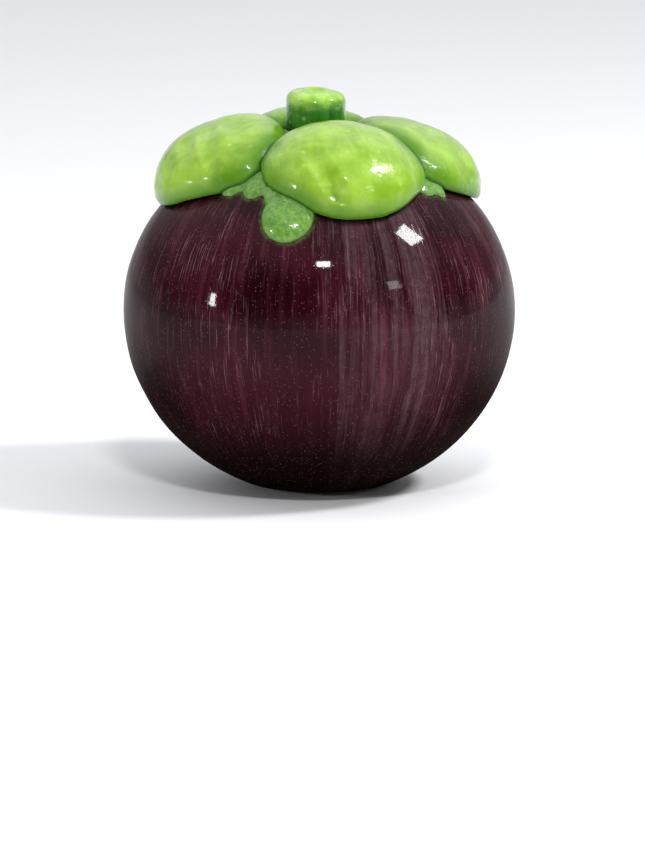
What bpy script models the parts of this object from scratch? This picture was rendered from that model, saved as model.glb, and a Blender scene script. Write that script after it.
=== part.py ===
"""A moulded mangosteen: a round maroon fruit under four puffy green calyx lobes and a stem.

Metres, +Z up. The origin is the centre of the small flat spot that the fruit rests on.
The photo looks along +Y, with +X to its right. Azimuths are in degrees round +Z, counted
from the side that faces the photo (-Y) towards the right (+X).
"""

import math

import bmesh
import bpy
from mathutils import Matrix, Vector

# The fruit: two half ellipsoids that meet at its widest level
FRUIT_RADIUS = 0.0300
WIDEST_HEIGHT = 0.0272
CROWN_RISE = 0.0269
BASE_DROP = 0.0287
FRUIT_STEPS = 64
CROWN_POINTS = 14
BASE_POINTS = 14

# The resting rosette under the fruit: a low disc with a scalloped edge, in a shallow flat
SHOULDER_RADIUS = 0.0115
HOLLOW_RADIUS = 0.0095
HOLLOW_HEIGHT = 0.00063
ROSETTE_RADIUS = 0.0075
ROSETTE_RISE = 0.0006
ROSETTE_SLOPE = 0.0002
ROSETTE_LOBES = 6
SCALLOP_RADIUS = 0.0016
SCALLOP_RISE = 0.0005
SCALLOP_SEGMENTS = 16

# Touching pieces keep this gap
GAP = 0.0003

# The big calyx lobes: oval cushions on the rind, whose middles lie this far from the stem
LOBE_MIDDLE = 0.0145
LOBE_HALF_LENGTH = 0.0095
LOBE_SEGMENTS = 32
LOBE_RINGS = 14

# Each big lobe's azimuth, half width and thickness. The upper ones lie over the edges of the
# side ones.
UPPER_LOBES = {
    "sepal_front": (13.0, 0.0121, 0.0055),
    "sepal_back": (190.0, 0.0126, 0.0057),
}
SIDE_LOBES = {
    "sepal_right": (99.0, 0.0132, 0.0048),
    "sepal_left": (-81.0, 0.0132, 0.0056),
}

# The calyx base: a thin round sheet under the lobes
SHEET_RADIUS = 0.0165
SHEET_THICKNESS = 0.0006
SHEET_FLATNESS = 6
SHEET_EDGE = 0.0002
SHEET_SEGMENTS = 96
SHEET_RINGS = 20
RIM_LEVEL = 0.001

# The small under-lobes on its edge:
# azimuth, distance of the middle from the stem, half length, half width, thickness
UNDER_LOBES = [
    (-12.0, 0.0212, 0.0045, 0.0041, 0.0017),
    (-30.0, 0.0165, 0.0042, 0.0023, 0.0013),
    (-41.0, 0.0165, 0.0042, 0.0023, 0.0013),
    (53.0, 0.0165, 0.0048, 0.0026, 0.0013),
    (60.0, 0.0160, 0.0042, 0.0023, 0.0012),
    (140.0, 0.0165, 0.0042, 0.0025, 0.0013),
    (168.0, 0.0210, 0.0044, 0.0039, 0.0016),
    (-124.0, 0.0165, 0.0046, 0.0027, 0.0013),
    (-133.0, 0.0162, 0.0042, 0.0022, 0.0012),
]
SHEET_AS_LOBE = (0.0, 0.0, SHEET_RADIUS, SHEET_RADIUS, SHEET_THICKNESS)

# Room left round a piece that another one lies on, and how deep its cutter sinks
BASE_ROOM = 0.0005
CUTTER_DEPTH = 0.0004

# The stem
STEM_RADIUS = 0.0045
STEM_TOP = 0.0613
STEM_EDGE = 0.0016
STEM_PIT_RADIUS = 0.0007
STEM_PIT_FLOOR = 0.0004
STEM_PIT_DEPTH = 0.0005
STEM_CROWN = 0.0004
STEM_STEPS = 40
STEM_EDGE_POINTS = 5
STEM_FOOT_POINTS = 3

# Looks: base colour in linear light, and roughness
MAROON_RIND = ((0.040, 0.010, 0.014), 0.22)
LIME_GREEN = ((0.330, 0.600, 0.110), 0.20)
LEAF_GREEN = ((0.120, 0.310, 0.075), 0.30)
STEM_GREEN = ((0.220, 0.480, 0.075), 0.22)


def clear_scene():
    for thing in list(bpy.data.objects):
        bpy.data.objects.remove(thing, do_unlink=True)


def collection_in_scene(name, helper=False):
    group = bpy.data.collections.new(name)
    bpy.context.scene.collection.children.link(group)
    group.hide_render = helper
    return group


def glossy_coat(name, look):
    colour, roughness = look
    material = bpy.data.materials.new(name)
    material.use_nodes = True
    surface = material.node_tree.nodes["Principled BSDF"]
    surface.inputs["Base Color"].default_value = (*colour, 1.0)
    surface.inputs["Roughness"].default_value = roughness
    surface.inputs["Metallic"].default_value = 0.0
    return material


def object_from_bmesh(name, shape, group):
    mesh = bpy.data.meshes.new(name)
    shape.to_mesh(mesh)
    shape.free()
    thing = bpy.data.objects.new(name, mesh)
    group.objects.link(thing)
    return thing


def round_off(thing):
    for face in thing.data.polygons:
        face.use_smooth = True


def as_cutter(thing):
    thing.hide_render = True
    thing.display_type = "WIRE"
    return thing


def combine(thing, other, operation):
    """Joins another solid to this one, or cuts it away, with an exact Boolean."""
    change = thing.modifiers.new(operation.lower() + "_" + other.name, "BOOLEAN")
    change.operation = operation
    change.solver = "EXACT"
    change.object = other


def turned(name, profile, steps, group):
    """Turns a profile, given as (radius, height) points from the top down, about +Z."""
    shape = bmesh.new()
    points = [shape.verts.new((radius, 0.0, height)) for radius, height in profile]
    for upper, lower in zip(points, points[1:]):
        shape.edges.new((upper, lower))
    mesh = bpy.data.meshes.new(name)
    shape.to_mesh(mesh)
    shape.free()
    thing = bpy.data.objects.new(name, mesh)
    group.objects.link(thing)
    screw = thing.modifiers.new("turn", "SCREW")
    screw.axis = "Z"
    screw.steps = steps
    screw.render_steps = steps
    screw.use_merge_vertices = True
    screw.merge_threshold = 0.00001
    screw.use_smooth_shade = True
    return thing


def crown_height(radius):
    """Height of the rind above the table, at this distance from the fruit's axis."""
    share = min(radius / FRUIT_RADIUS, 1.0)
    return WIDEST_HEIGHT + CROWN_RISE * math.sqrt(1.0 - share * share)


def on_crown(place, height):
    """The point at a height above the rind, over a place in plan."""
    foot = Vector((place.x, place.y, crown_height(place.length)))
    outwards = Vector(
        (
            foot.x / FRUIT_RADIUS**2,
            foot.y / FRUIT_RADIUS**2,
            (foot.z - WIDEST_HEIGHT) / CROWN_RISE**2,
        )
    )
    return foot + height * outwards.normalized()


def draped_cushion(name, azimuth, oval, segments, rings, group, grow=0.0, depth=0.0):
    """A closed cushion with an oval outline, draped over the rind.

    It is a sphere whose lower half is laid on the rind and whose upper half keeps its dome.
    grow widens and thickens it, and depth sinks its underside, for use as a cutter.
    """
    middle, half_length, half_width, thickness = oval
    turn = Matrix.Rotation(math.radians(azimuth), 2)
    shape = bmesh.new()
    bmesh.ops.create_uvsphere(shape, u_segments=segments, v_segments=rings, radius=1.0)
    for corner in shape.verts:
        across, along, up = corner.co
        outwards = middle + along * (half_length + grow)
        sideways = across * (half_width + grow)
        place = turn @ Vector((-sideways, -outwards))
        height = GAP - depth + max(up, 0.0) * (thickness + grow + depth)
        corner.co = on_crown(place, height)
    thing = object_from_bmesh(name, shape, group)
    round_off(thing)
    return thing


def make_fruit_body(parts, cutters):
    profile = []
    for step in range(CROWN_POINTS + 1):
        angle = 0.5 * math.pi * step / CROWN_POINTS
        profile.append((FRUIT_RADIUS * math.sin(angle), WIDEST_HEIGHT + CROWN_RISE * math.cos(angle)))
    last_angle = math.acos(SHOULDER_RADIUS / FRUIT_RADIUS)
    for step in range(1, BASE_POINTS + 1):
        angle = last_angle * step / BASE_POINTS
        profile.append((FRUIT_RADIUS * math.cos(angle), WIDEST_HEIGHT - BASE_DROP * math.sin(angle)))
    profile += [
        (HOLLOW_RADIUS, HOLLOW_HEIGHT),
        (ROSETTE_RADIUS, ROSETTE_RISE),
        (ROSETTE_RADIUS - ROSETTE_SLOPE, 0.0),
        (0.0, 0.0),
    ]
    body = turned("fruit_body", profile, FRUIT_STEPS, parts)
    for lobe in range(ROSETTE_LOBES):
        angle = 2.0 * math.pi * (lobe + 0.5) / ROSETTE_LOBES
        shape = bmesh.new()
        bmesh.ops.create_cone(
            shape,
            cap_ends=True,
            segments=SCALLOP_SEGMENTS,
            radius1=SCALLOP_RADIUS,
            radius2=SCALLOP_RADIUS,
            depth=2.0 * SCALLOP_RISE,
        )
        scallop = as_cutter(object_from_bmesh(f"rosette_scallop_{lobe + 1}", shape, cutters))
        scallop.location = (ROSETTE_RADIUS * math.cos(angle), ROSETTE_RADIUS * math.sin(angle), 0.0)
        combine(body, scallop, "DIFFERENCE")
    return body


def under_lobe_reach(azimuth, lobe, grow):
    """How far from the stem an under-lobe reaches along an azimuth, or 0 where it isn't."""
    lobe_azimuth, middle, half_length, half_width, _ = lobe
    angle = math.radians(azimuth - lobe_azimuth)
    forwards = math.cos(angle) / (half_length + grow)
    sideways = math.sin(angle) / (half_width + grow)
    start = middle / (half_length + grow)
    steepness = forwards * forwards + sideways * sideways
    room = (forwards * start) ** 2 - steepness * (start * start - 1.0)
    if room < 0.0 or forwards * start < 0.0:
        return 0.0
    return (forwards * start + math.sqrt(room)) / steepness


def base_reach(azimuth, grow=0.0):
    """How far from the stem the calyx base reaches along an azimuth."""
    return max(under_lobe_reach(azimuth, lobe, grow) for lobe in [SHEET_AS_LOBE, *UNDER_LOBES])


def base_thickness(azimuth, distance):
    """Thickness of the calyx base at a place: its sheet, or the under-lobe that stands higher."""
    share = min(distance / SHEET_RADIUS, 1.0)
    thickest = max(SHEET_THICKNESS * math.sqrt(1.0 - share**SHEET_FLATNESS), SHEET_EDGE)
    for lobe_azimuth, middle, half_length, half_width, thickness in UNDER_LOBES:
        angle = math.radians(azimuth - lobe_azimuth)
        forwards = (distance * math.cos(angle) - middle) / half_length
        sideways = distance * math.sin(angle) / half_width
        left = 1.0 - forwards * forwards - sideways * sideways
        if left > 0.0:
            thickest = max(thickest, thickness * math.sqrt(left))
    return thickest


def make_calyx_base(name, group, grow=0.0, depth=0.0):
    """The thin green sheet under the lobes, with small under-lobes along its edge.

    It is a sphere whose lower half is laid on the rind, whose outline is pulled out to the
    edge of the sheet and its under-lobes, and whose upper half takes their thickness.
    """
    shape = bmesh.new()
    bmesh.ops.create_uvsphere(shape, u_segments=SHEET_SEGMENTS, v_segments=SHEET_RINGS, radius=1.0)
    for corner in shape.verts:
        right, back, up = corner.co
        azimuth = math.degrees(math.atan2(right, -back))
        share = 2.0 / math.pi * math.acos(min(abs(up), 1.0))
        height = GAP - depth
        if up > RIM_LEVEL:
            height += depth + grow + base_thickness(azimuth, share * base_reach(azimuth))
        place = Vector((right, back)).normalized() * share * base_reach(azimuth, grow)
        corner.co = on_crown(place, height)
    base = object_from_bmesh(name, shape, group)
    round_off(base)
    return base


def make_lobe(name, lobe, group, grow=0.0, depth=0.0):
    azimuth, half_width, thickness = lobe
    oval = (LOBE_MIDDLE, LOBE_HALF_LENGTH, half_width, thickness)
    return draped_cushion(name, azimuth, oval, LOBE_SEGMENTS, LOBE_RINGS, group, grow, depth)


def make_lobes(parts, cutters):
    """Four lobes. The front and back ones lie over the edges of the side ones."""
    base_room = as_cutter(make_calyx_base("room_for_calyx_base", cutters, BASE_ROOM, CUTTER_DEPTH))
    lobes = []
    rooms = []
    for name, place in UPPER_LOBES.items():
        lobe = make_lobe(name, place, parts)
        combine(lobe, base_room, "DIFFERENCE")
        lobes.append(lobe)
        rooms.append(as_cutter(make_lobe(f"room_for_{name}", place, cutters, GAP, CUTTER_DEPTH)))
    for name, place in SIDE_LOBES.items():
        lobe = make_lobe(name, place, parts)
        for room in rooms:
            combine(lobe, room, "DIFFERENCE")
        combine(lobe, base_room, "DIFFERENCE")
        lobes.append(lobe)
    return lobes


def make_stem(parts):
    edge_centre = STEM_RADIUS - STEM_EDGE
    profile = [
        (0.0, STEM_TOP - STEM_PIT_DEPTH),
        (STEM_PIT_FLOOR, STEM_TOP - STEM_PIT_DEPTH),
        (STEM_PIT_RADIUS, STEM_TOP),
    ]
    shoulder_top = STEM_TOP - STEM_CROWN
    for step in range(STEM_EDGE_POINTS + 1):
        angle = 0.5 * math.pi * step / STEM_EDGE_POINTS
        profile.append(
            (
                edge_centre + STEM_EDGE * math.sin(angle),
                shoulder_top - STEM_EDGE * (1.0 - math.cos(angle)),
            )
        )
    rise = GAP + SHEET_THICKNESS + GAP
    for step in range(STEM_FOOT_POINTS + 1):
        radius = STEM_RADIUS * (1.0 - step / STEM_FOOT_POINTS)
        profile.append((radius, crown_height(radius) + rise))
    return turned("stem", profile, STEM_STEPS, parts)


def main():
    clear_scene()
    parts = collection_in_scene("mangosteen")
    cutters = collection_in_scene("cutters", helper=True)

    body = make_fruit_body(parts, cutters)
    body.data.materials.append(glossy_coat("maroon_rind", MAROON_RIND))

    base = make_calyx_base("calyx_base", parts)
    base.data.materials.append(glossy_coat("leaf_green_base", LEAF_GREEN))

    lime = glossy_coat("lime_green_lobe", LIME_GREEN)
    for lobe in make_lobes(parts, cutters):
        lobe.data.materials.append(lime)

    stem = make_stem(parts)
    stem.data.materials.append(glossy_coat("stem_green", STEM_GREEN))


main()
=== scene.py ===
# %% [markdown]
# # A moulded mangosteen
#
# This lesson builds the looks of a mangosteen-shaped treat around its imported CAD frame: a
# glossy maroon fruit, a calyx of four puffy green lobes over smaller under-lobes, and a
# stubby stem. Everything is in metres, +Z is up, and the fruit stands on the origin.

# %% Load the frame
import math

import bmesh
import bpy
from mathutils import Matrix, Vector
from mathutils.bvhtree import BVHTree


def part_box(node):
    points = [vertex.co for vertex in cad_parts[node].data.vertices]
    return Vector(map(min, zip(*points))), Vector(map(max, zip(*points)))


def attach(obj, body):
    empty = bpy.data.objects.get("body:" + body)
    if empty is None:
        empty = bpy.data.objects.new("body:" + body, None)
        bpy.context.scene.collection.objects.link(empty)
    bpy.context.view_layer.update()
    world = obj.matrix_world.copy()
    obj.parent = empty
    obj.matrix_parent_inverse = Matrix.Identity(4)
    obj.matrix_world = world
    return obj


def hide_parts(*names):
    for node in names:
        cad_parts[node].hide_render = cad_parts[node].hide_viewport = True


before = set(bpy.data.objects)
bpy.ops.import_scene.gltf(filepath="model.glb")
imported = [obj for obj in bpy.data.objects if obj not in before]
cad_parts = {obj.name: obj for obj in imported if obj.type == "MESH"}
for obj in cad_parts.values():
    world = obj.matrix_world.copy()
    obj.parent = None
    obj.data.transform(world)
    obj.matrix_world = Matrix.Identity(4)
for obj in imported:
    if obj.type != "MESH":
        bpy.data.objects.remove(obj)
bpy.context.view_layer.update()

# %% [markdown]
# ## The camera
#
# The photo looks at the fruit from a little above, about 9 degrees, and from far enough away
# that the sides hardly taper. The fruit's centre isn't in the middle of the picture, so the
# camera stands on the line of sight through that centre and is then turned by the few
# degrees that carry it to its own pixel. A shift of the lens would do the same, but a turn
# leaves the other views alone.

# %% Place the camera
MM = 0.001
PICTURE_SIZE = (645, 860)
FRUIT_PIXEL = (319.0, 308.0)
PIXELS_PER_METRE = 6517.0    # at the fruit's distance
VIEW_DISTANCE = 0.650
VIEW_ELEVATION = math.radians(9.0)
SENSOR_WIDTH = 36.0          # in mm, as the lens

body_low, body_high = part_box("fruit_body")
FRUIT_RADIUS = (body_high.x - body_low.x) / 2
WIDEST_HEIGHT = 27.2 * MM
CROWN_RISE = body_high.z - WIDEST_HEIGHT
BASE_DROP = 28.7 * MM        # the lower half would end this far down, if it weren't cut flat
fruit_centre = Vector((0.0, 0.0, WIDEST_HEIGHT))


def make_camera():
    focal_pixels = PIXELS_PER_METRE * VIEW_DISTANCE
    turn_down = math.atan((PICTURE_SIZE[1] / 2 - FRUIT_PIXEL[1]) / focal_pixels)
    turn_right = math.atan((PICTURE_SIZE[0] / 2 - FRUIT_PIXEL[0]) / focal_pixels)
    camera = bpy.data.objects.new("camera", bpy.data.cameras.new("camera"))
    bpy.context.scene.collection.objects.link(camera)
    camera.data.sensor_width = SENSOR_WIDTH
    camera.data.lens = focal_pixels * SENSOR_WIDTH / max(PICTURE_SIZE)
    camera.data.clip_start = 0.01
    sight = Vector((0.0, -math.cos(VIEW_ELEVATION), math.sin(VIEW_ELEVATION)))
    camera.location = fruit_centre + VIEW_DISTANCE * sight
    camera.rotation_euler = (math.pi / 2 - VIEW_ELEVATION - turn_down, 0.0, -turn_right)
    bpy.context.scene.camera = camera
    return camera


camera = make_camera()
print("lens in mm:", round(camera.data.lens, 1))

# %% [markdown]
# ## Helpers for modelling
#
# Every edit starts from nothing selected, and then takes vertices, edges or faces by where
# they are. These helpers open a piece for editing, select by a test, and apply a modifier,
# which is what a person does with the mouse.


# %% Select, edit and apply
def only(piece):
    bpy.ops.object.select_all(action="DESELECT")
    piece.select_set(True)
    bpy.context.view_layer.objects.active = piece


def edit(piece):
    only(piece)
    bpy.ops.object.mode_set(mode="EDIT")
    bpy.ops.mesh.select_all(action="DESELECT")


def leave_edit():
    bpy.ops.object.mode_set(mode="OBJECT")


def select_where(piece, kind, test):
    """In edit mode, selects the vertices, edges or faces that pass a test, and counts them."""
    bpy.ops.mesh.select_mode(type=kind)
    bpy.ops.mesh.select_all(action="DESELECT")
    shape = bmesh.from_edit_mesh(piece.data)
    items = {"VERT": shape.verts, "EDGE": shape.edges, "FACE": shape.faces}[kind]
    chosen = [item for item in items if test(item)]
    for item in chosen:
        item.select_set(True)
    bmesh.update_edit_mesh(piece.data)
    return len(chosen)


def apply_modifier(piece, kind, **settings):
    only(piece)
    modifier = piece.modifiers.new(kind.lower(), kind)
    for setting, value in settings.items():
        setattr(modifier, setting, value)
    bpy.ops.object.modifier_apply(modifier=modifier.name)


def apply_place(piece):
    only(piece)
    bpy.ops.object.transform_apply(location=True, rotation=True, scale=True)


def lumps(name, size):
    """A soft procedural cloud that gives a displacement its bumps, of this size in metres."""
    cloud = bpy.data.textures.new(name, "CLOUDS")
    cloud.noise_scale = size
    cloud.noise_depth = 1
    return cloud


print("CAD nodes to finish:", len(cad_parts))


# %% [markdown]
# ## The fruit
#
# The body is one round moulding, a little flatter above its widest level than below it. A
# turned profile would do, but a sphere whose upper and lower halves are scaled apart gives
# the same two half ellipsoids in two moves. The sphere is then cut flat for the foot.

# %% Model the fruit body
ROSETTE_LEVEL = 0.63 * MM   # the rosette stands this far out of the foot's flat
WHOLE_CUT = 0.001 * MM      # a cut snaps nothing that is further off than this


def make_fruit():
    bpy.ops.object.select_all(action="DESELECT")
    bpy.ops.mesh.primitive_uv_sphere_add(
        segments=288, ring_count=144, radius=FRUIT_RADIUS, location=fruit_centre
    )
    fruit = bpy.context.object
    fruit.name = "fruit_rind"
    apply_place(fruit)
    edit(fruit)
    select_where(fruit, "VERT", lambda v: v.co.z > WIDEST_HEIGHT)
    bpy.ops.transform.resize(value=(1, 1, CROWN_RISE / FRUIT_RADIUS), center_override=fruit_centre)
    select_where(fruit, "VERT", lambda v: v.co.z < WIDEST_HEIGHT)
    bpy.ops.transform.resize(value=(1, 1, BASE_DROP / FRUIT_RADIUS), center_override=fruit_centre)
    bpy.ops.mesh.select_all(action="SELECT")
    bpy.ops.mesh.bisect(
        plane_co=(0, 0, ROSETTE_LEVEL),
        plane_no=(0, 0, 1),
        use_fill=True,
        clear_inner=True,
        threshold=WHOLE_CUT,
    )
    leave_edit()
    return fruit


fruit = make_fruit()
print("fruit in mm:", [round(1000 * side, 1) for side in fruit.dimensions])

# %% [markdown]
# ## The resting rosette
#
# Under a mangosteen sits a small raised flower of flat lobes, where the blossom was. It is
# hidden in the picture, so its size is a typical one. It could be a piece of its own, but on
# the fruit it is one with the rind, so it is extruded from the flat foot, and the notches
# between its lobes are pulled towards the middle with proportional editing.


# %% Press the rosette out of the foot
ROSETTE_RADIUS = 7.5 * MM
ROSETTE_LOBES = 6
FOOT_BEVEL = 0.7 * MM
NOTCH_HALF_WIDTH = math.radians(5)
NOTCH_SHARE = 0.78          # the share of the radius that is left between two lobes
NOTCH_REACH = 1.0 * MM
SAME_LEVEL = 0.01 * MM


def on_flat(level):
    """A test for edges and faces that lie flat at this height."""
    return lambda item: all(abs(v.co.z - level) < SAME_LEVEL for v in item.verts)


def make_rosette(fruit):
    edit(fruit)
    select_where(fruit, "EDGE", on_flat(ROSETTE_LEVEL))
    bpy.ops.mesh.bevel(offset=FOOT_BEVEL, segments=4, affect="EDGES")
    select_where(fruit, "FACE", lambda f: on_flat(ROSETTE_LEVEL)(f) and len(f.verts) > 4)
    cap = [v.co.xy.length for v in bmesh.from_edit_mesh(fruit.data).verts if v.select]
    step_in = (max(cap) - ROSETTE_RADIUS) / 2
    bpy.ops.mesh.inset(thickness=step_in)
    bpy.ops.mesh.inset(thickness=step_in)
    bpy.ops.mesh.extrude_region_move(TRANSFORM_OT_translate={"value": (0, 0, -ROSETTE_LEVEL)})
    lobe_step = 2 * math.pi / ROSETTE_LOBES

    def at_notch(v):
        if v.co.z > ROSETTE_LEVEL + SAME_LEVEL or v.co.xy.length > ROSETTE_RADIUS + 0.1 * MM:
            return False
        return abs((math.atan2(v.co.y, v.co.x) % lobe_step) - lobe_step / 2) < NOTCH_HALF_WIDTH

    count = select_where(fruit, "VERT", at_notch)
    bpy.ops.transform.resize(
        value=(NOTCH_SHARE, NOTCH_SHARE, 1),
        center_override=(0, 0, 0),
        use_proportional_edit=True,
        use_proportional_connected=True,
        proportional_edit_falloff="SMOOTH",
        proportional_size=NOTCH_REACH,
    )
    leave_edit()
    return count


print("vertices pulled in between the rosette's lobes:", make_rosette(fruit))

# %% [markdown]
# ## Soft swells in the rind
#
# A poured coating is never quite true: its outline wanders by a quarter of a millimetre over
# a centimetre or so. A bump would show in the highlights alone, so a displacement with a
# cloud texture moves the mesh itself. A vertex group holds the foot still, so that the fruit
# stands flat.

# %% Swell the rind softly above the foot
SWELL_START = 1.5 * MM      # the foot stays flat up to this height
SWELL_GROWTH = 5 * MM       # and the swells have their full height this far above it
SWELL_SIZE = 11 * MM
SWELL_HEIGHT = 0.25 * MM


def swell_rind(fruit):
    free = fruit.vertex_groups.new(name="free_of_the_foot")
    for v in fruit.data.vertices:
        share = min(max((v.co.z - SWELL_START) / SWELL_GROWTH, 0.0), 1.0)
        free.add([v.index], share, "REPLACE")
    apply_modifier(
        fruit,
        "DISPLACE",
        texture=lumps("rind_swell", SWELL_SIZE),
        texture_coords="LOCAL",
        strength=SWELL_HEIGHT,
        vertex_group=free.name,
    )
    only(fruit)
    bpy.ops.object.shade_smooth_by_angle(angle=math.radians(40))


swell_rind(fruit)
print("fruit faces:", len(fruit.data.polygons))

# %% [markdown]
# ## A soft cushion for a lobe
#
# Each lobe is a soft cushion: a high dome whose edge curves in again underneath, so that a
# dark gap runs round it on the rind. A half ball with a bevelled edge would do, but its
# edge is straight up and its bevel thin. A whole ball is nearer: it is stretched to the
# lobe's width, length and thickness, and its back half is pressed nearly flat. A ring above
# the edge is drawn in, which leaves the lip that runs round every lobe. The side lobes are
# broadest towards the stem and the others near their middle, so the two ends are scaled
# apart with proportional editing, and a corner is pulled out where a lobe has a blunt point.

# %% Make one cushion
UNDER_DEPTH = 1.4 * MM      # how far the underside bulges below the widest level
UNDER_LIFT = 0.65 * MM      # how far the whole cushion is then lifted
LIP_HEIGHT = 1.6 * MM
LIP_SHARE = 0.99
LIP_REACH = 1.1 * MM


def ball(name, width, length, thickness, segments=192, rings=112):
    """A flattened ball whose poles face the camera and the back."""
    bpy.ops.object.select_all(action="DESELECT")
    bpy.ops.mesh.primitive_uv_sphere_add(
        segments=segments, ring_count=rings, radius=1.0, rotation=(math.pi / 2, 0, 0)
    )
    made = bpy.context.object
    made.name = name
    apply_place(made)
    made.scale = (width / 2, thickness, length / 2)
    apply_place(made)
    return made


def resize_ring(cushion, height, share, reach):
    """Widens or narrows the ring at a height over the edge, and what is within reach."""
    select_where(cushion, "VERT", lambda v: abs(v.co.y + height) < 0.2 * MM)
    bpy.ops.transform.resize(
        value=(share, 1, share),
        center_override=(0, 0, 0),
        use_proportional_edit=True,
        proportional_edit_falloff="SMOOTH",
        proportional_size=reach,
    )


def soft_cushion(name, width, length, thickness):
    """A cushion that stands upright and faces the camera: dome at -Y, underside at +Y."""
    height = thickness - UNDER_LIFT
    cushion = ball(name, width, length, height)
    edit(cushion)
    select_where(cushion, "VERT", lambda v: v.co.y > WHOLE_CUT)
    bpy.ops.transform.resize(value=(1, UNDER_DEPTH / height, 1), center_override=(0, 0, 0))
    resize_ring(cushion, LIP_HEIGHT, LIP_SHARE, LIP_REACH)
    bpy.ops.mesh.select_all(action="SELECT")
    bpy.ops.transform.translate(value=(0, -UNDER_LIFT, 0))
    leave_edit()
    return cushion


def fan_out(cushion, outer, inner):
    """Widens the cushion's outer (lower) and inner ends to these shares."""
    edit(cushion)
    length = cushion.dimensions.z
    for end, share in ((-1, outer), (1, inner)):
        select_where(cushion, "VERT", lambda v: v.co.z * end > 0.40 * length)
        bpy.ops.transform.resize(
            value=(share, 1, 1),
            center_override=(0, 0, 0),
            use_proportional_edit=True,
            proportional_edit_falloff="SMOOTH",
            proportional_size=0.6 * length,
        )
    leave_edit()


def pull_corner(cushion, side, outwards, reach):
    """Pulls the left (-1) or right (1) corner out, and what is within reach."""
    edit(cushion)
    half = cushion.dimensions.x / 2
    select_where(cushion, "VERT", lambda v: v.co.x * side > 0.97 * half)
    bpy.ops.transform.translate(
        value=(side * outwards, 0, 0),
        use_proportional_edit=True,
        proportional_edit_falloff="SMOOTH",
        proportional_size=reach,
    )
    leave_edit()


print("gap under a lobe's edge in mm:", round(1000 * UNDER_LIFT, 2))

# %% [markdown]
# ## Creases and dents
#
# Fingers and the mould leave creases and dimples in the lobes. They could be painted as a
# bump, but they are deep enough to bend the outline of a reflection, so they are pushed in
# with proportional editing: the points along a line are moved, and the rest follows less
# and less up to the reach, which leaves a soft groove.


# %% Press dents and creases
GROOVE = 0.25 * MM          # the vertices this near to the line move by the full depth


def crease(piece, start, end, depth, reach):
    """Presses a groove between two places (across, up the lobe) into the dome."""
    start, end = Vector(start), Vector(end)
    line = end - start

    def on_line(v):
        from_start = Vector((v.co.x, v.co.z)) - start
        share = min(max(from_start.dot(line) / line.length_squared, 0.0), 1.0)
        return v.normal.y < 0.3 and (from_start - share * line).length < GROOVE

    edit(piece)
    select_where(piece, "VERT", on_line)
    bpy.ops.transform.translate(
        value=(0, depth, 0),
        use_proportional_edit=True,
        use_proportional_connected=True,
        proportional_edit_falloff="SMOOTH",
        proportional_size=reach,
    )
    leave_edit()


print("groove floor in mm:", round(2000 * GROOVE, 2))

# %% [markdown]
# ## Laying a lobe on the rind
#
# A poured lobe follows the rind that it set on. The upright cushion is bent both ways to the
# rind's curve, turned and laid in its place, and what would dip into the rind is lifted out
# of it with a shrinkwrap. Modelling it in place would do too, but its creases are much
# easier to set out on an upright cushion.

# %% Bend, lay and settle
RIND_CURVE = 30.0 * MM
CONTACT = 0.04 * MM         # the hairline that is left between a lobe and the rind


def bend_to_rind(cushion, across_curve=RIND_CURVE):
    """Bends the cushion across, and then along, to these radii of curvature."""
    for axis, curve in (("Z", across_curve), ("X", RIND_CURVE)):
        side = cushion.dimensions.x if axis == "Z" else cushion.dimensions.z
        apply_modifier(
            cushion, "SIMPLE_DEFORM", deform_method="BEND", deform_axis=axis, angle=side / curve
        )


def lay_on_rind(cushion, azimuth, tilt, spin=0.0):
    """Lays the cushion tilt degrees from the stem and azimuth degrees round it, spun in place."""
    slope = math.radians(tilt)
    foot = Vector((0.0, -FRUIT_RADIUS * math.sin(slope), CROWN_RISE * math.cos(slope) + WIDEST_HEIGHT))
    turn_up = math.atan2((foot.z - WIDEST_HEIGHT) / CROWN_RISE**2, -foot.y / FRUIT_RADIUS**2)
    around = Matrix.Rotation(math.radians(azimuth), 4, "Z")
    leant = Matrix.Rotation(-turn_up, 4, "X") @ Matrix.Rotation(math.radians(spin), 4, "Y")
    cushion.matrix_world = around @ Matrix.Translation(foot) @ leant
    apply_place(cushion)


def settle(cushion, base):
    apply_modifier(
        cushion,
        "SHRINKWRAP",
        target=base,
        wrap_method="NEAREST_SURFACEPOINT",
        wrap_mode="OUTSIDE",
        offset=CONTACT,
    )


print("the rind's curve in mm:", round(1000 * RIND_CURVE, 1))

# %% [markdown]
# ## The four lobes
#
# A mangosteen keeps the four sepals of its flower. They are alike but not the same, so the
# cushion is made once for each, with its own size, creases, and soft swellings from a
# displacement. The front and back lobes lie over the edges of the two side lobes, so they
# are bent less across and their sides stand off the rind. Copies of one lobe would be
# quicker, but the eye finds a repeated dent at once.


# %% Make a lobe
OVER_CURVE = 46 * MM        # the bend across a lobe that lies over its neighbours
BELLY = 0.55 * MM           # the lobes are fullest a little below their middle
LUMP_HEIGHT = 0.5 * MM
RIPPLE_SIZE = 1.8 * MM
RIPPLE_HEIGHT = 0.10 * MM


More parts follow.
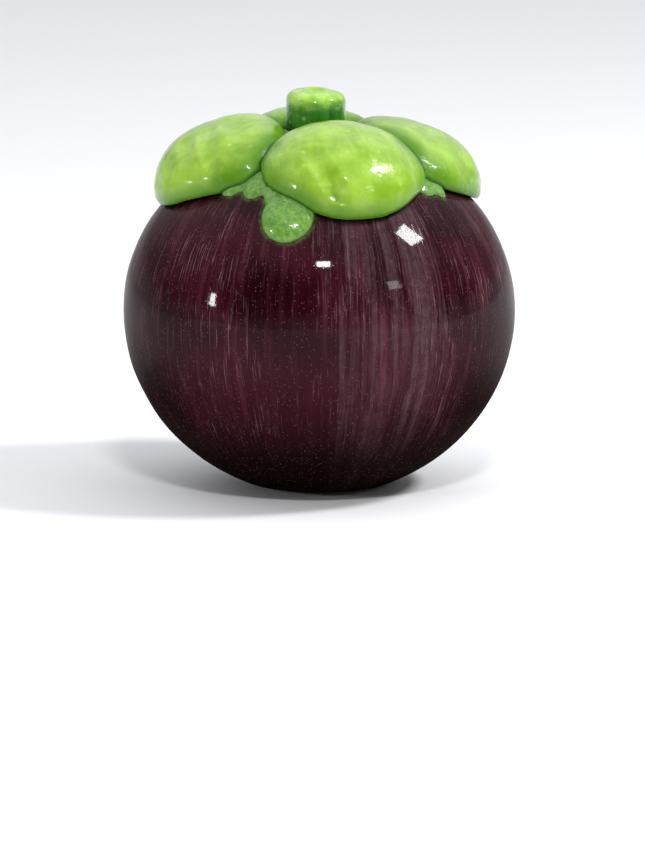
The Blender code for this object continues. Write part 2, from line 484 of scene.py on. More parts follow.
def make_lobe(name, place, size, ends, corners, creases, lump_size, across_curve=RIND_CURVE):
    """A lobe from its place (azimuth, tilt, spin), its size, and its creases in mm."""
    width, length, thickness = [MM * side for side in size]
    lobe = soft_cushion(name, width, length, thickness)
    fan_out(lobe, *ends)
    for side, outwards, reach in corners:
        pull_corner(lobe, side, outwards * MM, reach * MM)
    crease(lobe, (-0.1 * width, -0.2 * length), (0.1 * width, -0.2 * length), -BELLY, 0.3 * length)
    for start, end, depth, reach in creases:
        crease(lobe, [MM * v for v in start], [MM * v for v in end], MM * depth, MM * reach)
    bend_to_rind(lobe, across_curve)
    lay_on_rind(lobe, *place)
    for kind, grain, rise in (("lumps", lump_size, LUMP_HEIGHT), ("ripples", RIPPLE_SIZE, RIPPLE_HEIGHT)):
        texture = lumps(name + "_" + kind, grain)
        apply_modifier(lobe, "DISPLACE", texture=texture, texture_coords="LOCAL", strength=rise)
    settle(lobe, fruit)
    only(lobe)
    bpy.ops.object.shade_smooth()
    return lobe


print("bends across in mm:", round(1000 * RIND_CURVE), "and", round(1000 * OVER_CURVE))


# %% Make the four lobes
# Each crease runs from one place (across, up the lobe) to another, with a depth and a reach.
# A negative depth is a ridge.
FRONT_CREASES = [
    ((-5.1, -2.6), (-1.8, -8.6), 0.70, 1.7),
    ((-1.8, -8.4), (-0.6, -9.2), 0.35, 1.2),
    ((-6.6, -2.6), (-5.4, -5.6), -0.25, 1.3),
    ((-0.6, 4.5), (0.6, -4.6), 0.26, 2.0),
    ((7.8, 3.4), (9.6, -2.4), 0.35, 1.7),
    ((10.4, 0.8), (10.6, -3.2), 0.22, 1.2),
    ((-9.8, 2.0), (-9.4, -3.0), 0.22, 1.6),
]
LEFT_CREASES = [
    ((3.0, -2.5), (10.0, -4.5), 0.35, 1.6),
    ((3.0, 0.5), (11.0, -0.8), 0.30, 1.5),
    ((2.0, 4.0), (10.0, 4.0), 0.40, 2.0),
    ((2.0, -6.0), (7.5, -7.0), 0.25, 1.3),
    ((-6.0, 2.0), (-7.5, -4.0), 0.35, 2.0),
]
RIGHT_CREASES = [
    ((-3.0, 1.5), (-10.0, 1.0), 0.35, 2.0),
    ((-2.0, -3.5), (-8.5, -4.5), 0.30, 1.6),
    ((3.0, -1.0), (9.0, -2.0), 0.35, 2.0),
]
BACK_CREASES = [
    ((3.0, 2.0), (2.4, -6.0), 0.45, 1.9),
    ((-5.0, 1.0), (-6.0, -5.0), 0.35, 2.0),
]
# The shares that the outer and the inner end are widened to.
OVER_ENDS = (0.95, 0.98)
SIDE_ENDS = (0.84, 1.18)
# Each pulled corner is a side (-1 left, 1 right), how far out, and its reach, in mm.
front = make_lobe(
    "lobe_front",
    (14.0, 30.5, 8.0),
    (23.9, 21.9, 5.5),
    OVER_ENDS,
    [(-1, 0.5, 4.5), (1, 0.4, 4.5)],
    FRONT_CREASES,
    6.0 * MM,
    OVER_CURVE,
)
back = make_lobe(
    "lobe_back",
    (190.0, 31.0, 8.0),
    (25.0, 22.2, 5.7),
    OVER_ENDS,
    [(1, 0.6, 4.5)],
    BACK_CREASES,
    6.5 * MM,
    OVER_CURVE,
)
right = make_lobe(
    "lobe_right",
    (99.0, 31.2, -4.0),
    (27.0, 21.7, 4.8),
    SIDE_ENDS,
    [],
    RIGHT_CREASES,
    7.0 * MM,
)
left = make_lobe(
    "lobe_left",
    (-81.0, 31.1, 4.0),
    (27.4, 21.8, 5.7),
    SIDE_ENDS,
    [],
    LEFT_CREASES,
    5.5 * MM,
)
lobes = (front, back, left, right)
for lobe in lobes:
    print(lobe.name, "in mm:", [round(1000 * side, 1) for side in lobe.dimensions])

# %% [markdown]
# ## The calyx base and its under-lobes
#
# Between and below the big lobes a thinner, darker green layer shows: a sheet with small
# rounded under-lobes, one of them large and round. Each is a flattened ball, bent and laid
# like a lobe and half sunk in the rind. The balls are melted into one with a voxel remesh
# and smoothed, which gives the soft fillets that a poured coating has, and then the sunk
# half is pushed back out to the rind.

# %% Model the calyx base
BALL_GRAIN = 0.28 * MM      # the voxels that melt the balls into one
BALL_SMOOTHING = 8
# The sheet, and then the under-lobes: azimuth and tilt from the stem in degrees, and width,
# length and thickness in mm.
UNDER_LOBES = [
    (0.0, 0.0, 33.0, 33.0, 1.0),
    (-11.5, 50.0, 8.1, 9.5, 1.6),
    (-29.0, 36.0, 5.0, 8.8, 1.1),
    (-41.0, 36.0, 5.6, 8.6, 1.1),
    (-35.0, 34.0, 8.0, 8.0, 1.0),
    (-14.0, 41.5, 7.0, 8.0, 1.0),
    (52.0, 36.5, 5.6, 9.0, 1.0),
    (59.0, 37.5, 4.2, 9.6, 0.9),
    (140.0, 36.0, 5.4, 8.5, 1.5),
    (168.0, 48.5, 8.0, 9.5, 1.6),
    (-124.0, 36.5, 6.0, 9.0, 1.4),
    (-134.0, 36.0, 4.8, 8.0, 1.3),
]


def make_calyx_base():
    pieces = []
    for azimuth, tilt, width, length, thickness in UNDER_LOBES:
        piece = ball("calyx_sheet", width * MM, length * MM, thickness * MM, segments=64, rings=32)
        bend_to_rind(piece)
        lay_on_rind(piece, azimuth, tilt)
        pieces.append(piece)
    bpy.ops.object.select_all(action="DESELECT")
    for piece in pieces:
        piece.select_set(True)
    sheet = pieces[0]
    bpy.context.view_layer.objects.active = sheet
    bpy.ops.object.join()
    apply_modifier(sheet, "REMESH", mode="VOXEL", voxel_size=BALL_GRAIN)
    apply_modifier(sheet, "SMOOTH", factor=0.5, iterations=BALL_SMOOTHING)
    settle(sheet, fruit)
    only(sheet)
    bpy.ops.object.shade_smooth()
    return sheet


calyx_base = make_calyx_base()
print("calyx base faces:", len(calyx_base.data.polygons))

# %% [markdown]
# ## The stem
#
# The stem is a short round plug with a soft shoulder and a small pit in its top. A turned
# profile would do, but a cylinder with a bevelled top edge is the plain way: each ring of
# the crown and the pit is inset and moved up or down. The top leans a little to the camera
# and to the left, as a cut stem does.

# %% Model the stem
stem_low, stem_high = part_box("stem")
STEM_RADIUS = (stem_high.x - stem_low.x) / 2
STEM_FOOT = body_high.z - 0.6 * MM
STEM_LEAN = (math.radians(5.0), math.radians(-2.0))
STEM_ASIDE = -0.4 * MM
STEM_SPARE = 0.75 * MM      # what the crown, the lean and the lumps add to the height
STEM_SHOULDER = 1.5 * MM
# Each ring of the top: how far in and how far up, in mm. The last two are the pit.
STEM_RINGS = ((0.8, 0.25), (0.8, 0.15), (0.3, -0.35), (0.25, -0.2))


def make_stem():
    bpy.ops.object.select_all(action="DESELECT")
    height = stem_high.z - STEM_FOOT - STEM_SPARE
    bpy.ops.mesh.primitive_cylinder_add(
        vertices=64, radius=STEM_RADIUS, depth=height, location=(STEM_ASIDE, 0, STEM_FOOT + height / 2)
    )
    stem = bpy.context.object
    stem.name = "stem_plug"
    apply_place(stem)
    edit(stem)
    top = STEM_FOOT + height
    select_where(stem, "EDGE", on_flat(top))
    bpy.ops.mesh.bevel(offset=STEM_SHOULDER, segments=8, affect="EDGES")
    select_where(stem, "EDGE", lambda e: abs(e.verts[0].co.z - e.verts[1].co.z) > 2 * MM)
    bpy.ops.mesh.subdivide(number_cuts=9)
    select_where(stem, "FACE", on_flat(top))
    for step_in, step_up in STEM_RINGS:
        bpy.ops.mesh.inset(thickness=step_in * MM)
        bpy.ops.transform.translate(value=(0, 0, step_up * MM))
    select_where(stem, "VERT", lambda v: v.co.z > STEM_FOOT + 1 * MM)
    middle = (STEM_ASIDE, 0, top)
    bpy.ops.transform.rotate(value=-STEM_LEAN[0], orient_axis="X", center_override=middle)
    bpy.ops.transform.rotate(value=STEM_LEAN[1], orient_axis="Y", center_override=middle)
    leave_edit()
    apply_modifier(stem, "SUBSURF", levels=2, render_levels=2)
    apply_modifier(
        stem, "DISPLACE", texture=lumps("stem_lumps", 3.5 * MM), texture_coords="LOCAL", strength=0.35 * MM
    )
    only(stem)
    bpy.ops.object.shade_smooth()
    return stem


stem = make_stem()
print("stem height in mm:", round(1000 * stem.dimensions.z, 1))

# %% [markdown]
# ## Where pieces touch
#
# The coatings meet in soft joints. The green thins out over the rind round each under-lobe.
# The big lobes are painted darker green towards their edges and darkest where they touch,
# and the rind is painted darkest in the narrow gap under them: both are painted shade. A
# material can't measure how far off the next piece is, so each vertex gets that as a number:
# 1 where it touches another piece, and 0 from a given reach on.


# %% Mark how near each vertex is to other pieces
def mark_nearness(piece, others, reach, name="nearness"):
    graph = bpy.context.evaluated_depsgraph_get()
    trees = [BVHTree.FromObject(other, graph) for other in others]
    marks = []
    for v in piece.data.vertices:
        found = [tree.find_nearest(v.co, reach)[3] for tree in trees]
        gap = min([gap for gap in found if gap is not None], default=reach)
        marks.append(1.0 - gap / reach)
    layer = piece.data.attributes.new(name, "FLOAT", "POINT")
    layer.data.foreach_set("value", marks)
    return sum(mark > 0 for mark in marks)


print("rind near the under-lobes:", mark_nearness(fruit, [calyx_base], 0.8 * MM))
print("rind near the big lobes:", mark_nearness(fruit, lobes, 1.4 * MM, "painted_contact_shade"))
print("calyx base near the rind:", mark_nearness(calyx_base, [fruit], 0.9 * MM))
for lobe in lobes:
    rest = [other for other in lobes if other is not lobe]
    print(lobe.name, "near others:", mark_nearness(lobe, [fruit, calyx_base, stem, *rest], 4.5 * MM))
print("stem near others:", mark_nearness(stem, [*lobes, calyx_base], 1.5 * MM))

# %% [markdown]
# ## Helpers for materials
#
# Colours are written as the sRGB hex values that a picture shows, and one function turns
# them into the linear light that shaders use. Another adds a node with its settings and
# links, and coats of colour are laid over each other, so that each material reads as a list
# of its layers. A noise has a scale per metre: 1000 gives features of about 1 mm.


# %% Colour and node helpers
SMOOTH = {"interpolation_type": "SMOOTHSTEP"}   # a range of values with soft ends


def linear(code):
    """A hex colour as linear red, green, blue and an alpha of 1."""
    channels = [int(code[i : i + 2], 16) / 255 for i in (1, 3, 5)]
    return (*[c / 12.92 if c <= 0.04045 else ((c + 0.055) / 1.055) ** 2.4 for c in channels], 1.0)


def connect(tree, node, inputs):
    """Sets a node's inputs, by name or in the order that it shows them.

    Each is a value, a hex colour, another node's socket, or a whole node, which stands for
    the first output that it shows.
    """
    shown = [socket for socket in node.inputs if socket.enabled]
    pairs = inputs.items() if isinstance(inputs, dict) else zip(shown, inputs)
    for socket, value in pairs:
        socket = node.inputs[socket] if isinstance(socket, str) else socket
        if isinstance(value, bpy.types.Node):
            value = next(output for output in value.outputs if output.enabled)
        if isinstance(value, bpy.types.NodeSocket):
            tree.links.new(value, socket)
        else:
            socket.default_value = linear(value) if isinstance(value, str) else value


def add(tree, kind, inputs=(), **settings):
    """Adds a node of any kind, with its settings and its inputs."""
    made = tree.nodes.new("ShaderNode" + kind)
    for setting, value in settings.items():
        setattr(made, setting, value)
    connect(tree, made, inputs)
    return made


print("lime as linear light:", [round(value, 3) for value in linear("#98be3a")])


# %% Coats and materials
def lay_coats(tree, colour, coats):
    """Lays coats over a first colour: each where its mask is, at its strength."""
    for mask, strength, coat in coats:
        share = add(tree, "Math", [mask, strength], operation="MULTIPLY")
        colour = add(tree, "Mix", [share, colour, coat], data_type="RGBA")
    return colour


def new_material(name):
    material = bpy.data.materials.new(name)
    material.use_nodes = True
    tree = material.node_tree
    return material, tree, tree.nodes["Principled BSDF"]


def finish_with(piece, material):
    piece.data.materials.clear()
    piece.data.materials.append(material)


print("nearness is kept for:", [a.name for a in fruit.data.attributes if a.data_type == "FLOAT"])

# %% [markdown]
# ## Coordinates that run with the fruit
#
# A coating is brushed and drips from the stem down, so its streaks run along the fruit's
# meridians. A wrapped picture could show them, but it isn't needed: the position is squeezed
# to a ring round the stem, with only a little of its height left in it. A noise read there
# changes quickly round the fruit and slowly down it. The same ring tells which way a place
# on the rind faces, for what differs from side to side.


# %% Streak coordinates
RIND_STRETCH = 0.04         # a streak on the rind is 25 times as long as it is wide
GREEN_STRETCH = 0.5         # and one on the greens twice


def streak_place(tree, place, stretch):
    """The place on a ring round the stem, with this share of its height."""
    axes = add(tree, "SeparateXYZ", [place]).outputs
    flat = add(tree, "CombineXYZ", [axes["X"], axes["Y"]])
    around = add(tree, "VectorMath", [flat], operation="NORMALIZE")
    height = add(tree, "Math", [axes["Z"], stretch], operation="MULTIPLY")
    up = add(tree, "CombineXYZ", {"Z": height})
    ring = add(tree, "VectorMath", [around, (FRUIT_RADIUS,) * 3, up], operation="MULTIPLY_ADD")
    return ring, around, axes["Z"]


def facing(tree, around, azimuth, *limits):
    """One value where the rind faces this way round the fruit, and another elsewhere."""
    way = (math.sin(math.radians(azimuth)), -math.cos(math.radians(azimuth)), 0.0)
    turned = add(tree, "VectorMath", [around, way], operation="DOT_PRODUCT")
    return add(tree, "MapRange", [turned, *limits], **SMOOTH)


print("share of the height in the rind's streaks:", RIND_STRETCH)

# %% [markdown]
# ## The rind's finish: brushed maroon coating
#
# The real rind is a frozen, cocoa-butter-like coating, coloured deep maroon and glazed.
# The colour is nearly black-red in the thick parts, and a softer maroon below the widest
# level, where it ran thin. Pale mauve streaks of thinner coating run down from the stem,
# from hair lines of 0.1 mm to stripes of 3 mm, and are broadest right of the middle. Tiny
# pale ice specks lie in it. Towards the foot it turns near-black, partly its own browner tone
# and partly painted shade; the low sides away from the front are painted darker, and the
# narrow gap under the lobes darkest, as painted shade. The glaze on top is wet and clear, so
# the windows mirror in it sharply, but the brush lines under it break them up. It thins out
# downwards. A plain red with a gloss would look like a painted ball, so the streaks, patches
# and specks are layers of noise, laid over each other.


# %% Streaks and patches in the rind
HAIR_SCALE = 3600.0
STRIPE_SCALE = 800.0
BROAD_SCALE = 420.0
MOTTLE_SCALE = 900.0        # the mottle in the broad stripes
BREAK_SCALE = 200.0         # the gaps in the hair lines
PATCH_SCALE = 90.0
DRIFT_SCALE = 140.0
DRIFT = 0.75 * MM           # how far a streak wanders to the side
PALE_SIDE = 22.0            # the broad stripes lie round this azimuth, in degrees
DARK_SIDE = -3.0            # and the streaks are fainter round this one


def rind_streaks(tree, place, ring, around):
    """Masks for the hair lines, the stripes, the broad stripes and the thin patches."""
    drift = add(tree, "TexNoise", [place, DRIFT_SCALE]).outputs["Color"]
    wavy = add(tree, "VectorMath", [drift, (DRIFT,) * 3, ring], operation="MULTIPLY_ADD")
    wander = add(tree, "TexNoise", [place, PATCH_SCALE])
    thin = add(tree, "MapRange", [wander, 0.35, 0.65], **SMOOTH)
    patchy = add(tree, "MapRange", [wander, 0.38, 0.60, 0.40, 1.0], **SMOOTH)
    dark_side = facing(tree, around, DARK_SIDE, 0.965, 0.998, 1.0, 0.45)
    patches = add(tree, "Math", [dark_side, patchy], operation="MULTIPLY")

    hair_noise = add(tree, "TexNoise", [wavy, HAIR_SCALE, 2.0, 0.6])
    hair = add(tree, "MapRange", [hair_noise, 0.56, 0.68], **SMOOTH)
    break_noise = add(tree, "TexNoise", [place, BREAK_SCALE])
    broken = add(tree, "MapRange", [break_noise, 0.38, 0.62, 0.10, 1.0], **SMOOTH)
    left_whole = add(tree, "Math", [patches, broken], operation="MULTIPLY")
    hairs = add(tree, "Math", [hair, left_whole], operation="MULTIPLY")

    stripe_noise = add(tree, "TexNoise", [wavy, STRIPE_SCALE, 4.0, 0.6])
    stripe = add(tree, "MapRange", [stripe_noise, 0.50, 0.70], **SMOOTH)
    stripes = add(tree, "Math", [stripe, patches], operation="MULTIPLY")

    broad_noise = add(tree, "TexNoise", [wavy, BROAD_SCALE, 6.0, 0.75])
    pale_side = facing(tree, around, PALE_SIDE, 0.905, 0.99, -0.14, 0.08)
    sided = add(tree, "Math", [broad_noise, pale_side], operation="ADD")
    broad = add(tree, "MapRange", [sided, 0.44, 0.74], **SMOOTH)
    mottle_noise = add(tree, "TexNoise", [place, MOTTLE_SCALE, 4.0, 0.7])
    mottle = add(tree, "MapRange", [mottle_noise, 0.30, 0.66, 0.55, 1.0], **SMOOTH)
    broad_stripes = add(tree, "Math", [mottle, broad], operation="MULTIPLY")
    return hairs, stripes, broad_stripes, thin


print("streaks in mm:", [round(1000 / scale, 2) for scale in (HAIR_SCALE, STRIPE_SCALE, BROAD_SCALE)])


# %% Maroon colour
SOFTER_ENDS = (30 * MM, 21 * MM)    # the softer maroon begins and is full at these heights
SIDE_ENDS_DOWN = (36 * MM, 14 * MM)     # so does the painted shade on the low sides away from the front
FOOT_ENDS = (21 * MM, 5 * MM)       # and the near-black all round the foot, partly the rind's own tone and partly painted shade


def maroon_colour(tree, place):
    """The coating's colour, the streaks on their own for the relief, and the height."""
    ring, around, height = streak_place(tree, place, RIND_STRETCH)
    hairs, stripes, broad_stripes, thin = rind_streaks(tree, place, ring, around)
    softer = add(tree, "MapRange", [height, *SOFTER_ENDS], **SMOOTH)
    # Painted shade: the low sides, away from the front, are darkened.
    outwards = facing(tree, around, 0.0, 0.55, 0.95, 1.0, 0.0)
    down = add(tree, "MapRange", [height, *SIDE_ENDS_DOWN, 0.0, 0.80], **SMOOTH)
    painted_side_shade = add(tree, "Math", [outwards, down], operation="MULTIPLY")
    # Near-black towards the foot: partly the rind's own browner tone, partly painted shade.
    foot = add(tree, "MapRange", [height, *FOOT_ENDS, 0.0, 0.93], **SMOOTH)
    low = add(tree, "Math", [painted_side_shade, foot], operation="MAXIMUM")
    coats = [
        (thin, 1.0, "#340c16"),
        (softer, 0.75, "#3a171e"),
        (stripes, 0.56, "#5c2a35"),
        (broad_stripes, 0.42, "#7c6068"),
        (hairs, 0.52, "#8e6e74"),
        (low, 1.0, "#0c0603"),
    ]
    streaks = add(tree, "Math", [stripes, hairs], operation="MAXIMUM")
    return lay_coats(tree, "#1e0207", coats), streaks, height


# The near-black at the foot is partly the rind's own tone and partly painted shade.
print("the brown is full below", round(1000 * FOOT_ENDS[1]), "mm")


# %% Maroon coating
SPECK_SCALE = 2800.0
EDGE_SCALE = 900.0                  # the grain in the green's ragged edge on the rind
COAT_ENDS = (14 * MM, 33 * MM)      # the glaze thins out between these heights


def ice_specks(tree, place):
    """Pale dots: small balls round scattered points, of which only some are kept."""
    points = add(tree, "TexVoronoi", [place, SPECK_SCALE]).outputs
    dot = add(tree, "MapRange", [points["Distance"], 0.32, 0.12], **SMOOTH)
    pick = add(tree, "SeparateColor", [points["Color"]])
    kept = add(tree, "MapRange", [pick, 0.45, 1.0], **SMOOTH)
    return add(tree, "Math", [dot, kept], operation="MULTIPLY")


def maroon_coating():
    material, tree, surface = new_material("maroon_brushed_coating")
    place = add(tree, "TexCoord").outputs["Object"]
    colour, streaks, height = maroon_colour(tree, place)
    specks = ice_specks(tree, place)
    near_green = add(tree, "Attribute", attribute_name="nearness").outputs["Fac"]
    halo = add(tree, "MapRange", [near_green, 0.10, 0.90, 0.0, 0.75], **SMOOTH)
    edge_noise = add(tree, "TexNoise", [place, EDGE_SCALE, 3.0])
    edge = add(tree, "MapRange", [edge_noise, 0.30, 0.60], **SMOOTH)
    ragged = add(tree, "Math", [halo, edge], operation="MULTIPLY")
    near_lobe = add(tree, "Attribute", attribute_name="painted_contact_shade").outputs["Fac"]
    painted_contact_shade = add(tree, "MapRange", [near_lobe, 0.15, 0.95], **SMOOTH)
    # Painted shade: the rind is darkened to near-black in the narrow gap under the big lobes.
    coats = [(specks, 0.27, "#a8838c"), (ragged, 1.0, "#4f6234"), (painted_contact_shade, 0.85, "#0d0405")]
    raised = add(tree, "Math", [specks, 0.6], operation="MULTIPLY")
    relief = add(tree, "Math", [streaks, raised], operation="ADD")
    finish = {
        "Base Color": lay_coats(tree, colour, coats),
        "Roughness": 0.36,
        "IOR": 1.40,
        "Specular IOR Level": 0.0,
        "Normal": add(tree, "Bump", {"Height": relief, "Strength": 0.5, "Distance": 0.06 * MM}),
        "Coat Weight": add(tree, "MapRange", [height, *COAT_ENDS, 0.02, 0.42], **SMOOTH),
        "Coat Roughness": 0.05,
        "Coat IOR": 1.36,
        "Coat Normal": add(tree, "Bump", {"Height": relief, "Strength": 0.09, "Distance": 0.05 * MM}),
    }
    connect(tree, surface, finish)
    return material


finish_with(fruit, maroon_coating())
print("rind finish:", fruit.data.materials[0].name)

# %% [markdown]
# ## The greens: sugar-glazed coating
#
# The lobes are the same kind of coating in lime green, over a paler inside, so light goes a
# little way in and comes out softened. The colour is cloudy and brushed along the lobe. It is
# painted darker green towards the edges and darkest green where the lobe touches the rind
# and the other pieces, as painted shade. The glaze is thick, with tiny pits, thin folds and
# soft waves, which break its highlights up and make them sparkle. These are a tenth of a
# millimetre deep, so they are a bump, and only the big creases are in the mesh.


# %% Sugar glaze
PIT_SCALE = 900.0
WAVE_SCALE = 420.0
FOLD_SCALE = 520.0
FOLD_PATCH_SCALE = 260.0
FOLD_HALF = 0.025           # a fold is a thin line where a noise is this near to its middle, 0.5
GLAZED = {
    "Roughness": 0.32,
    "IOR": 1.42,
    "Specular IOR Level": 0.25,
    "Coat Weight": 0.8,
    "Coat Roughness": 0.04,
    "Coat IOR": 1.38,
    "Subsurface Radius": (0.8, 1.0, 0.3),
    "Subsurface Scale": 1.2 * MM,
}


def pitted_glaze(tree, place, pit_depth):
    """The tiny pits in the clear glaze, and its bump with thin folds and soft waves too."""
    cells = add(tree, "TexVoronoi", [place, PIT_SCALE]).outputs
    hollow = add(tree, "MapRange", [cells["Distance"], 0.0, 0.45, 1.0, 0.0], **SMOOTH)
    pick = add(tree, "SeparateColor", [cells["Color"]])
    few = add(tree, "MapRange", [pick, 0.8, 0.9], **SMOOTH)
    pits = add(tree, "Math", [hollow, few], operation="MULTIPLY")

    crossing = add(tree, "TexNoise", [place, FOLD_SCALE, 1.5])
    below = add(tree, "MapRange", [crossing, 0.5 - FOLD_HALF, 0.5], **SMOOTH)
    above = add(tree, "MapRange", [crossing, 0.5 + FOLD_HALF, 0.5], **SMOOTH)
    line = add(tree, "Math", [below, above], operation="MULTIPLY")
    patch_noise = add(tree, "TexNoise", [place, FOLD_PATCH_SCALE])
    here = add(tree, "MapRange", [patch_noise, 0.46, 0.60, 0.0, 0.8], **SMOOTH)
    folds = add(tree, "Math", [line, here], operation="MULTIPLY")

    wave_noise = add(tree, "TexNoise", [place, WAVE_SCALE, 5.0, 0.6])
    waves = add(tree, "Math", [wave_noise, 1.8], operation="MULTIPLY")
    pressed = add(tree, "Math", [pits, folds], operation="ADD")
    relief = add(tree, "Math", [waves, pressed], operation="SUBTRACT")
    return pits, add(tree, "Bump", {"Height": relief, "Strength": 0.6, "Distance": pit_depth})


print("pits are", round(1000 / PIT_SCALE, 1), "mm apart")


# %% Lime coating for the lobes
CLOUD_SCALE = 260.0
BRUSH_SCALE = 700.0


def lime_coating():
    material, tree, surface = new_material("lime_glazed_coating")
    place = add(tree, "TexCoord").outputs["Object"]
    ring, _, _ = streak_place(tree, place, GREEN_STRETCH)
    cloud_noise = add(tree, "TexNoise", [place, CLOUD_SCALE, 4.0])
    cloud = add(tree, "MapRange", [cloud_noise, 0.34, 0.66], **SMOOTH)
    brush_noise = add(tree, "TexNoise", [ring, BRUSH_SCALE, 4.0])
    brush = add(tree, "MapRange", [brush_noise, 0.45, 0.70], **SMOOTH)
    pits, bump = pitted_glaze(tree, place, 0.08 * MM)
    near = add(tree, "Attribute", attribute_name="nearness").outputs["Fac"]
    # Painted shade: the lobes turn darker green towards their edges, and darkest green where they touch
    # the rind and the other pieces.
    painted_edge_shade = add(tree, "MapRange", [near, 0.10, 0.85], **SMOOTH)
    painted_contact_shade = add(tree, "MapRange", [near, 0.86, 0.98], **SMOOTH)
    coats = [
        (cloud, 1.0, "#98be3a"),
        (brush, 0.22, "#a9cf54"),
        (pits, 0.25, "#cfe88a"),
        (painted_edge_shade, 0.9, "#467a08"),
        (painted_contact_shade, 0.95, "#1f5214"),
    ]
    finish = {
        "Base Color": lay_coats(tree, "#7da61a", coats),
        "Normal": bump,
        "Coat Normal": bump,
        "Coat Weight": add(tree, "MapRange", [near, 0.35, 0.85, 0.8, 0.15], **SMOOTH),
        "Subsurface Weight": 0.25,
    }
    connect(tree, surface, GLAZED | finish)
    return material


lime = lime_coating()
for lobe in lobes:
    finish_with(lobe, lime)
print("lobe finish:", lime.name)

# %% [markdown]
# ## The calyx base's finish: thin leaf green
#
# The under-lobes are coated more thinly, so they are greyer than the lobes, mottled in grains
# of a millimetre and dotted with dark pits. One flat green would do from afar, but beside the
# lobes it would look like paper. So a noise mixes two greens, and the edge turns browner
# where the coating thins out on the rind.


# %% Leaf green coating for the calyx base
LEAF_SCALE = 1300.0


def leaf_green_coating():
    material, tree, surface = new_material("leaf_green_thin_coating")
    place = add(tree, "TexCoord").outputs["Object"]
    leaf_noise = add(tree, "TexNoise", [place, LEAF_SCALE, 4.0, 0.7])
    mottle = add(tree, "MapRange", [leaf_noise, 0.34, 0.66], **SMOOTH)
    pits, bump = pitted_glaze(tree, place, 0.10 * MM)
    near = add(tree, "Attribute", attribute_name="nearness").outputs["Fac"]
    thin = add(tree, "MapRange", [near, 0.35, 1.0], **SMOOTH)
    edge_noise = add(tree, "TexNoise", [place, EDGE_SCALE, 3.0])
    edge = add(tree, "MapRange", [edge_noise, 0.25, 0.60, 0.3, 1.0], **SMOOTH)
    ragged = add(tree, "Math", [thin, edge], operation="MULTIPLY")
    coats = [(mottle, 1.0, "#749c42"), (pits, 0.6, "#2f5f2c"), (ragged, 1.0, "#6c8148")]
    finish = {
        "Base Color": lay_coats(tree, "#4c822a", coats),
        "Normal": bump,
        "Coat Normal": bump,
        "Subsurface Weight": 0.12,
    }
    connect(tree, surface, GLAZED | finish)
    return material


finish_with(calyx_base, leaf_green_coating())
print("calyx base finish:", calyx_base.data.materials[0].name)

# %% [markdown]
# ## The stem's finish: two greens
#
# The stem is dark green below and lime on top, with an uneven border between them. Two
# materials with a border would give a hard line, so one material mixes both by height, and
# a noise shifts that height up and down round the stem.

# %% Two-green coating for the stem
DIP_ENDS = (59.3 * MM, 61.6 * MM)   # the lime begins and is full at these levels
DRIP = 3.0 * MM                     # and its edge runs down unevenly by up to this
DRIP_SCALE = 420.0
STEM_STREAK_SCALE = 120.0
STEM_CLOUD_SCALE = 500.0


def stem_coating():
    material, tree, surface = new_material("stem_two_green_coating")
    place = add(tree, "TexCoord").outputs["Object"]
    ring, _, height = streak_place(tree, place, GREEN_STRETCH)
    drip_noise = add(tree, "TexNoise", [place, DRIP_SCALE])
    drip = add(tree, "Math", [drip_noise, DRIP], operation="MULTIPLY")
    level = add(tree, "Math", [height, drip], operation="ADD")
    lime_top = add(tree, "MapRange", [level, *DIP_ENDS], **SMOOTH)
    streak_noise = add(tree, "TexNoise", [ring, STEM_STREAK_SCALE, 3.0])
    streak = add(tree, "MapRange", [streak_noise, 0.35, 0.65], **SMOOTH)
    cloud_noise = add(tree, "TexNoise", [place, STEM_CLOUD_SCALE, 3.0])
    cloud = add(tree, "MapRange", [cloud_noise, 0.35, 0.65], **SMOOTH)
    body = lay_coats(tree, "#1f6412", [(streak, 1.0, "#3c8226")])
    top = lay_coats(tree, "#86b82c", [(cloud, 1.0, "#a6cc58")])
    pits, bump = pitted_glaze(tree, place, 0.08 * MM)
    finish = {
        "Base Color": lay_coats(tree, body, [(lime_top, 1.0, top), (pits, 0.4, "#bfe08a")]),
        "Normal": bump,
        "Coat Normal": bump,
        "Subsurface Weight": 0.2,
    }
    connect(tree, surface, GLAZED | finish)
    return material


finish_with(stem, stem_coating())
print("stem finish:", stem.data.materials[0].name)

# %% [markdown]
# ## Floor and light
#
# The floor is a plain pale sheet. The shape of a glossy fruit is drawn by what it mirrors,
# so it is lit by a few small bright windows, each placed where its highlight belongs on the
# fruit. One large soft light would be kinder, but it would lie over the rind as a veil.


# %% Lay the floor
def make_floor():
    bpy.ops.object.select_all(action="DESELECT")
    bpy.ops.mesh.primitive_plane_add(size=8.0, location=(0, 0, 0))
    floor = bpy.context.object
    floor.name = "floor"
    material, tree, surface = new_material("pale_matt_floor")
    connect(tree, surface, {"Base Color": "#f2f2f3", "Roughness": 0.8})
    finish_with(floor, material)
    return floor


print("floor in m:", [round(side, 1) for side in make_floor().dimensions])


# %% Hang the windows
def area_light(name, towards, distance, size, brightness):
    """A soft box that faces the fruit. It stands towards a direction (right, back, up)."""
    lamp = bpy.data.lights.new(name, "AREA")
    lamp.shape = "RECTANGLE"
    lamp.size, lamp.size_y = size
    lamp.energy = brightness * math.pi * size[0] * size[1]
    light = bpy.data.objects.new(name, lamp)
    bpy.context.scene.collection.objects.link(light)
    towards = Vector(towards).normalized()
    light.location = fruit_centre + distance * towards
    light.rotation_euler = towards.to_track_quat("Z", "Y").to_euler()
    print(name, "is", round(lamp.energy, 2), "W")
    return light


def seen_from_camera(right_way, up_way, near_way):
    """A direction in the camera's own terms, turned into the world's."""
    near = Vector((0.0, -math.cos(VIEW_ELEVATION), math.sin(VIEW_ELEVATION)))
    across = Vector((1.0, 0.0, 0.0))
    return right_way * across + up_way * near.cross(across) + near_way * near


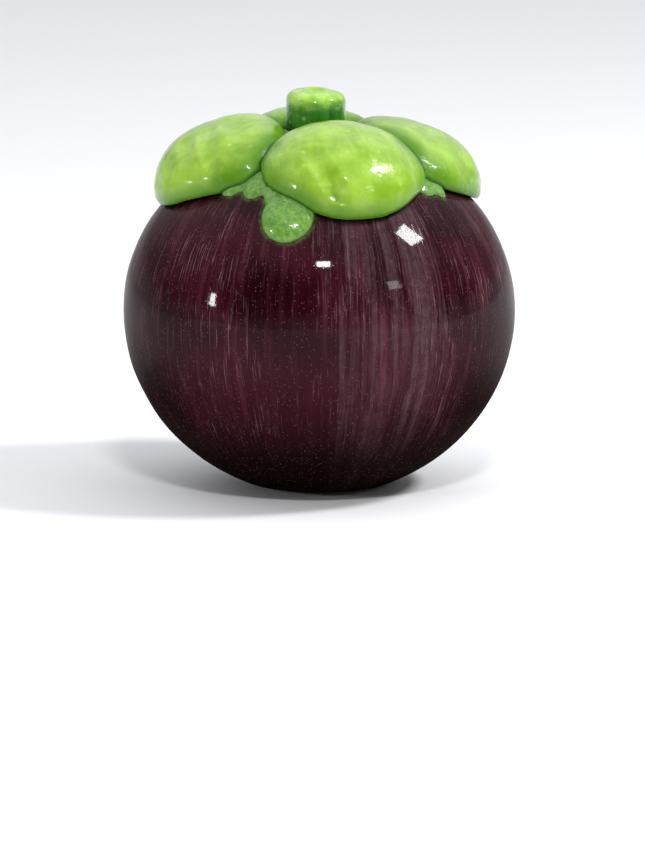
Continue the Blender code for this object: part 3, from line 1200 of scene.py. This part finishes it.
# Each window: where it stands (right, up and near, seen from the camera), its distance and
# size in metres, and its brightness.
WINDOW_DISTANCE = 0.9
area_light("front_window", seen_from_camera(0.063, 0.555, 0.829), WINDOW_DISTANCE, (0.12, 0.06), 120)
area_light("left_window", seen_from_camera(-0.877, 0.151, 0.456), WINDOW_DISTANCE, (0.06, 0.11), 80)
area_light("right_window", seen_from_camera(0.684, 0.701, 0.204), WINDOW_DISTANCE, (0.15, 0.15), 75)
area_light("right_low_window", seen_from_camera(0.666, 0.326, 0.671), WINDOW_DISTANCE, (0.09, 0.09), 14)

# %% [markdown]
# ## The room
#
# The room is a soft gradient. Its ceiling and back wall light the floor and the tops of the
# lobes, and mirror only in the rims of the dark glaze, with a faint glow just over the floor
# that softens the horizon there. An even room would be simpler, but the mirror image of its
# front wall would wash the maroon out, so that wall stays dim.

# %% Dim the room and light its ceiling
ROOM_FRONT = 0.07
ROOM_CEILING = 1.2
FLOOR_GLOW = 0.6
ROOM_BRIGHTEST = (0.0, 0.35, 0.94)  # the room is brightest this way: up, and a little back


def studio_world():
    """A room whose light grows softly from the front wall to the ceiling and the back."""
    world = bpy.data.worlds.new("studio")
    bpy.context.scene.world = world
    world.use_nodes = True
    tree = world.node_tree
    way = add(tree, "TexCoord").outputs["Generated"]
    upwards = add(tree, "VectorMath", [way, ROOM_BRIGHTEST], operation="DOT_PRODUCT")
    ceiling = add(tree, "MapRange", [upwards, 0.1, 1.0, ROOM_FRONT, ROOM_CEILING], **SMOOTH)
    height = add(tree, "SeparateXYZ", [way]).outputs["Z"]
    glow = add(tree, "MapRange", [height, 0.0, 0.20, FLOOR_GLOW, 0.0], **SMOOTH)
    strength = add(tree, "Math", [ceiling, glow], operation="ADD")
    connect(tree, tree.nodes["Background"], {"Color": "#f4f6fa", "Strength": strength})


studio_world()
bpy.context.scene.view_settings.view_transform = "Standard"
print("room from", ROOM_FRONT, "to", ROOM_CEILING)

# %% [markdown]
# ## Hand the pieces over
#
# Every piece rides on the model's one body and stands for the CAD node whose shape it
# finishes, which is hidden.

# %% Ride and replace
for piece, node, slot in (
    (fruit, "fruit_body", "rind"),
    (calyx_base, "calyx_base", "calyx_base"),
    (front, "sepal_front", "sepal"),
    (right, "sepal_right", "sepal"),
    (back, "sepal_back", "sepal"),
    (left, "sepal_left", "sepal"),
    (stem, "stem", "stem"),
):
    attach(piece, "root")
    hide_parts(node)

print("pieces handed over:", len(lobes) + 3)
